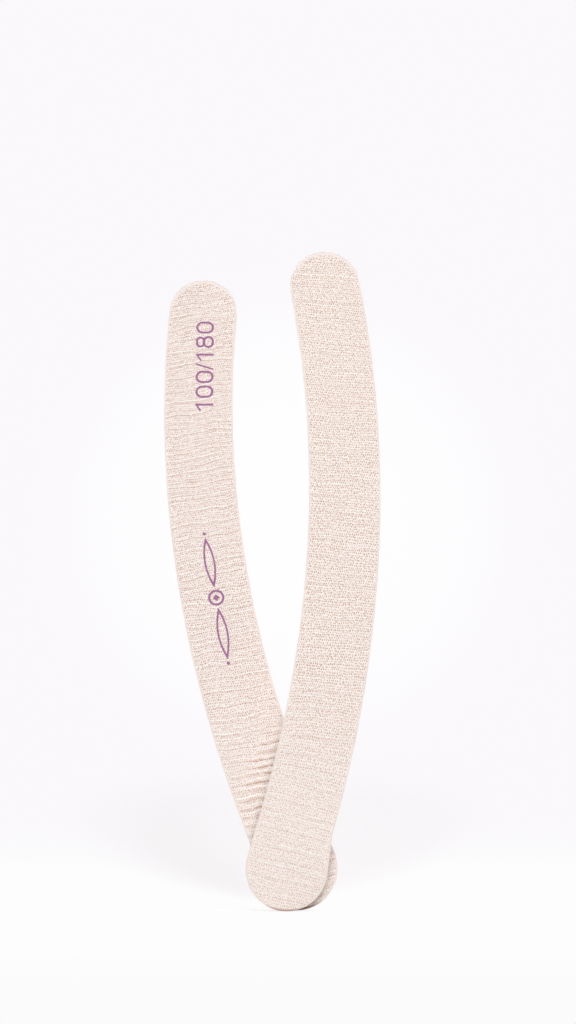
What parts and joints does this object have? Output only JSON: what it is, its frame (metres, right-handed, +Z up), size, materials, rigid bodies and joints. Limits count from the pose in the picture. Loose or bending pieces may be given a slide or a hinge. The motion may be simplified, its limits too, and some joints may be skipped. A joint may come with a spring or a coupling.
{
  "type": "emery board",
  "caption": "Pair of curved, cushioned emery boards standing crossed at the foot, each a laminate of grit, paper, adhesive, foam and a stiff core, with printed grit numerals.",
  "frame": {"origin": "on the surface that the boards stand on, under the middle of the pair's bounding box", "axes": "+X to the viewer's right, +Y away from the viewer, +Z up along the boards"},
  "size_m": [0.06, 0.0194, 0.1785],
  "materials": {
    "coarse_grit": "matt cream abrasive coat with irregular wavy cross ridges",
    "fine_grit": "matt cream abrasive coat with fine speckled cross ridges",
    "backing_paper": "matt pale paper",
    "adhesive_film": "translucent pale film",
    "foam": "matt fine closed-cell foam",
    "core": "white sheet plastic with a cut edge",
    "ink": "matt purple printing ink"
  },
  "bodies": {
    "rear_board": {"rear_coarse_grit": "coarse_grit", "rear_coarse_paper": "backing_paper", "rear_coarse_outer_adhesive": "adhesive_film", "rear_coarse_foam": "foam", "rear_coarse_inner_adhesive": "adhesive_film", "rear_core": "core", "rear_fine_inner_adhesive": "adhesive_film", "rear_fine_foam": "foam", "rear_fine_outer_adhesive": "adhesive_film", "rear_fine_paper": "backing_paper", "rear_fine_grit": "fine_grit", "rear_numerals_ink": "ink", "rear_ornament_ink": "ink"},
    "front_board": {"front_coarse_grit": "coarse_grit", "front_coarse_paper": "backing_paper", "front_coarse_outer_adhesive": "adhesive_film", "front_coarse_foam": "foam", "front_coarse_inner_adhesive": "adhesive_film", "front_core": "core", "front_fine_inner_adhesive": "adhesive_film", "front_fine_foam": "foam", "front_fine_outer_adhesive": "adhesive_film", "front_fine_paper": "backing_paper", "front_fine_grit": "fine_grit", "front_numerals_ink": "ink", "front_ornament_ink": "ink"}
  },
  "joints": [
    {"name": "front_board_pull", "type": "slide", "parent": "rear_board", "child": "front_board", "axis": [0, -1, 0], "range_m": [0, 0.05]}
  ]
}
